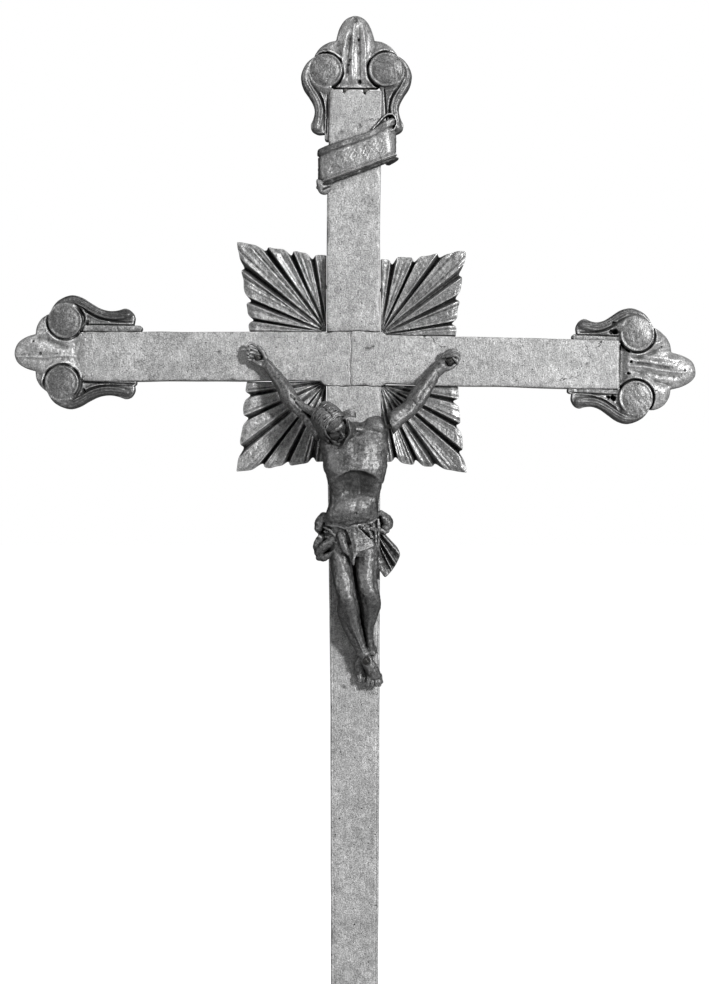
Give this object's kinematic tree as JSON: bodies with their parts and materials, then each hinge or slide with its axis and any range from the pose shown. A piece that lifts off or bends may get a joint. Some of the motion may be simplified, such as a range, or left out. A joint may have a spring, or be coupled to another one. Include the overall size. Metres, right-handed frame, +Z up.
{
  "type": "processional cross",
  "caption": "Hand-carried processional crucifix of silvered wood with carved scroll-and-leaf ends, ray panels at the crossing, a label band and a carved corpus.",
  "frame": {"origin": "centre of the tenon's end face, which drops into the socket of the carrying staff", "axes": "+Z up along the upright, +X to the viewer's right along the crossarms, -Y out of the front, which carries the corpus"},
  "size_m": [0.6016, 0.0812, 0.9408],
  "materials": {
    "silvered_wood": "silver leaf over gesso on a flat beam, satin, rubbed and finely cracked",
    "silvered_carving": "toned silver leaf over gesso on carving, dark in the hollows, bright on worn ridges",
    "ray_carving": "dark toned leaf on pleated rays, bright on worn ridges",
    "corpus_patina": "dark satin metallic patina over carved wood, rubbed on the high places",
    "nail_iron": "forged iron, dull and dark",
    "bare_wood": "unfinished end grain of pegs and dowels"
  },
  "bodies": {
    "root": {"corpus_arm_left": "corpus_patina", "corpus_arm_right": "corpus_patina", "corpus_body": "corpus_patina", "corpus_peg": "bare_wood", "crossarm_left": "silvered_wood", "crossarm_right": "silvered_wood", "foot_nail": "nail_iron", "hand_nail_left": "nail_iron", "hand_nail_right": "nail_iron", "lap_peg_left_lower": "bare_wood", "lap_peg_left_upper": "bare_wood", "lap_peg_right_lower": "bare_wood", "lap_peg_right_upper": "bare_wood", "leaf_dowel_left_a": "bare_wood", "leaf_dowel_left_b": "bare_wood", "leaf_dowel_right_a": "bare_wood", "leaf_dowel_right_b": "bare_wood", "leaf_dowel_top_a": "bare_wood", "leaf_dowel_top_b": "bare_wood", "leaf_left": "silvered_carving", "leaf_right": "silvered_carving", "leaf_top": "silvered_carving", "loincloth_end": "corpus_patina", "loincloth_pin": "bare_wood", "ray_panel_lower_left": "ray_carving", "ray_panel_lower_right": "ray_carving", "ray_panel_upper_left": "ray_carving", "ray_panel_upper_right": "ray_carving", "ray_pin_lower_left_arm": "bare_wood", "ray_pin_lower_left_upright": "bare_wood", "ray_pin_lower_right_arm": "bare_wood", "ray_pin_lower_right_upright": "bare_wood", "ray_pin_upper_left_arm": "bare_wood", "ray_pin_upper_left_upright": "bare_wood", "ray_pin_upper_right_arm": "bare_wood", "ray_pin_upper_right_upright": "bare_wood", "scroll_dowel_left_lower": "bare_wood", "scroll_dowel_left_upper": "bare_wood", "scroll_dowel_right_lower": "bare_wood", "scroll_dowel_right_upper": "bare_wood", "scroll_dowel_top_left": "bare_wood", "scroll_dowel_top_right": "bare_wood", "scroll_left_lower": "silvered_carving", "scroll_left_upper": "silvered_carving", "scroll_right_lower": "silvered_carving", "scroll_right_upper": "silvered_carving", "scroll_top_left": "silvered_carving", "scroll_top_right": "silvered_carving", "shoulder_dowel_left": "bare_wood", "shoulder_dowel_right": "bare_wood", "titulus_band": "silvered_carving", "titulus_nail_left": "nail_iron", "titulus_nail_right": "nail_iron", "upright": "silvered_wood"}
  },
  "joints": []
}
